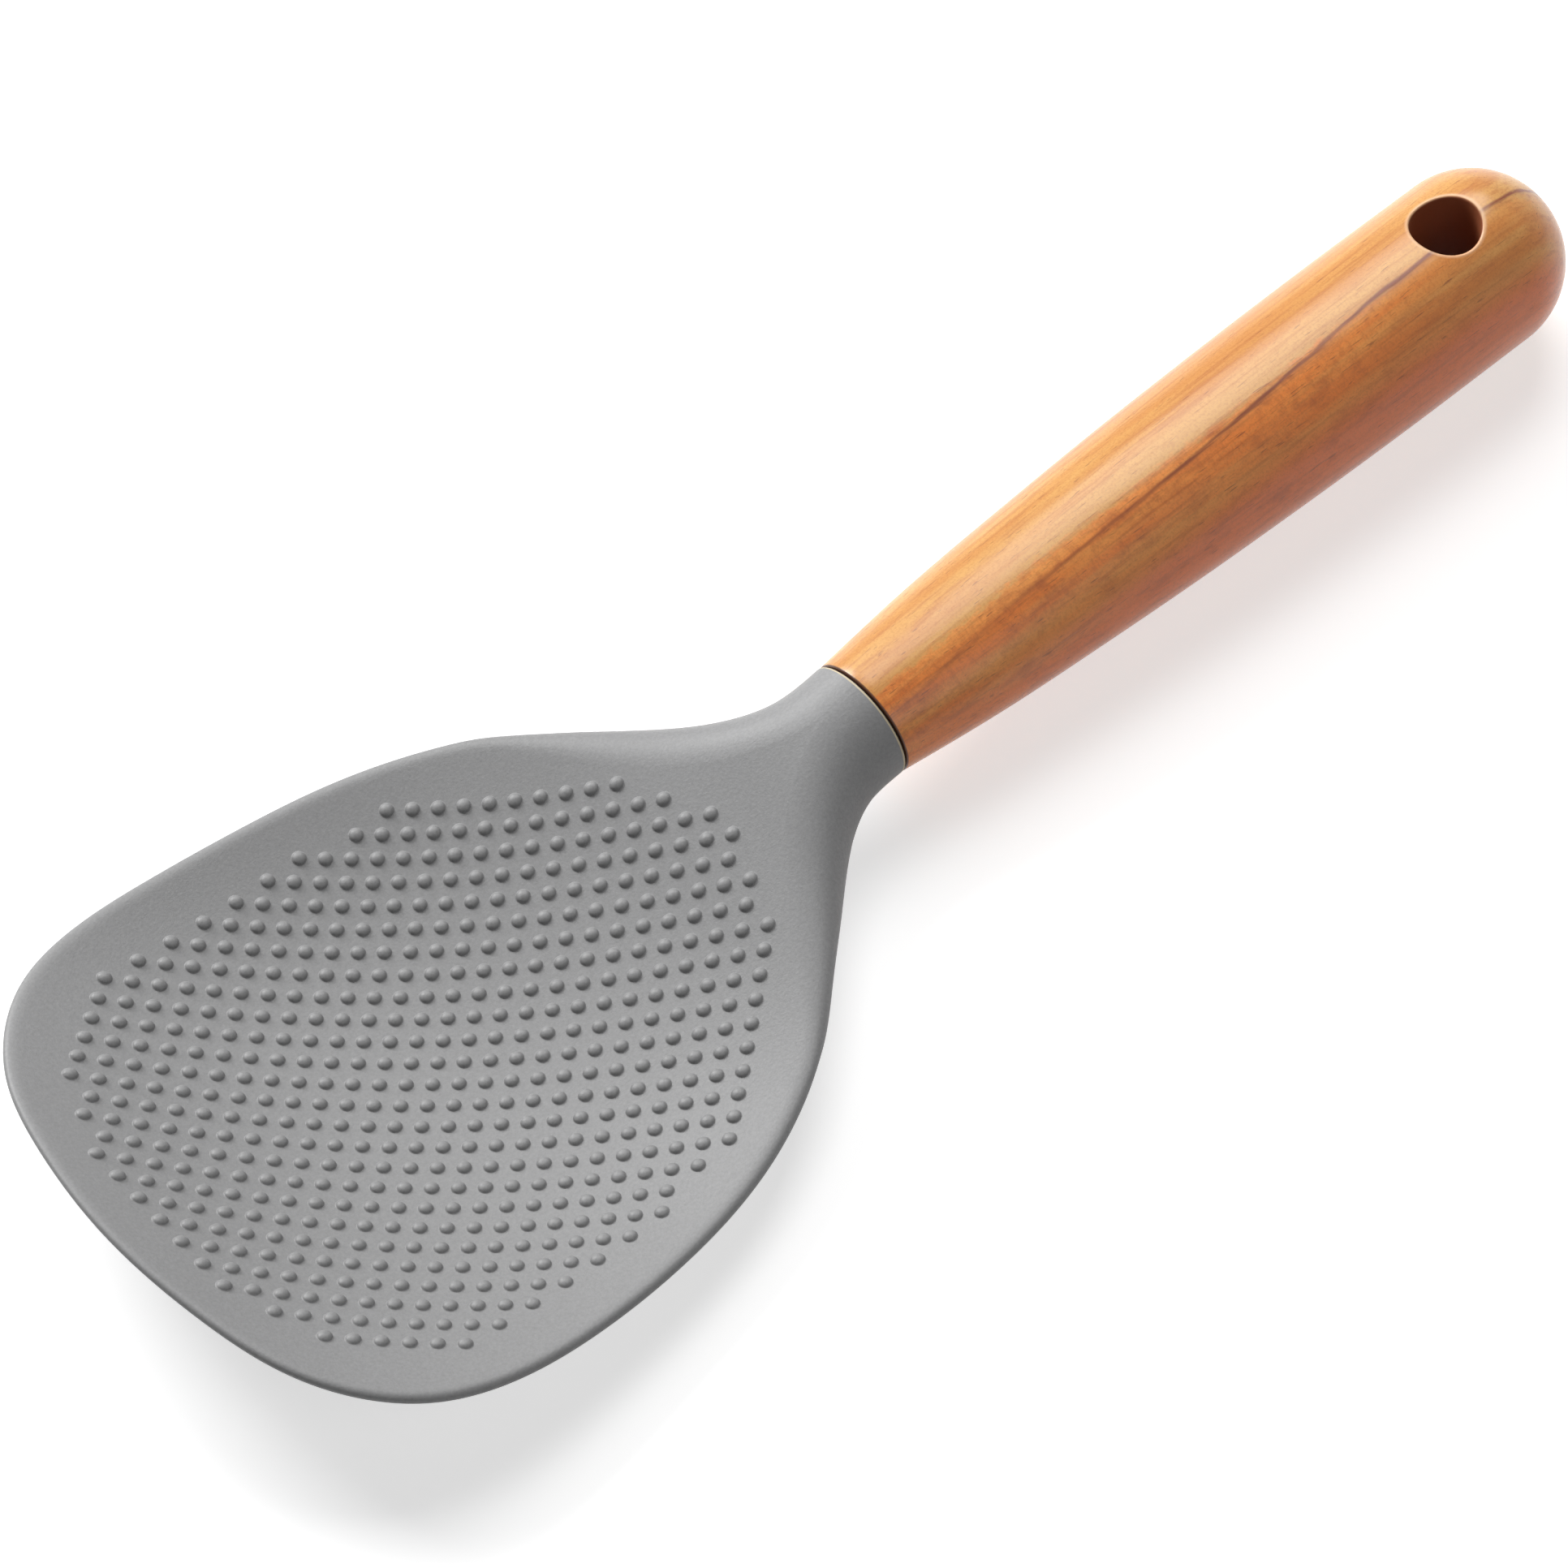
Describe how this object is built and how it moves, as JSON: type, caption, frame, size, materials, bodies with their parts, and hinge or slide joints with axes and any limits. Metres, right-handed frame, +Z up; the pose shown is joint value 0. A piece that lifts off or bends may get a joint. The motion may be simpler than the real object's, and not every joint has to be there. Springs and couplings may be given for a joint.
{
  "type": "rice paddle",
  "caption": "Shallow dished rice paddle with a soft bumped blade over a stiff core and a round wooden handle with a hanging hole.",
  "frame": {"origin": "on the table under the middle of the whole length, as the paddle lies at rest with its dish up", "axes": "+X from the blade to the butt of the handle, +Y across the blade, +Z up out of the dish"},
  "size_m": [0.237, 0.0876, 0.0249],
  "materials": {
    "silicone": "matt moulded silicone, neutral grey with fine speckle",
    "core": "plain moulded nylon, cream",
    "steel": "plain drawn rod",
    "glue": "cured dark brown glue",
    "wood": "clear lacquered hardwood, warm brown, grain along the handle"
  },
  "bodies": {
    "root": {"silicone_head": "silicone", "blade_core": "core", "tang": "steel", "glue_sleeve": "glue", "wood_handle": "wood"}
  },
  "joints": []
}
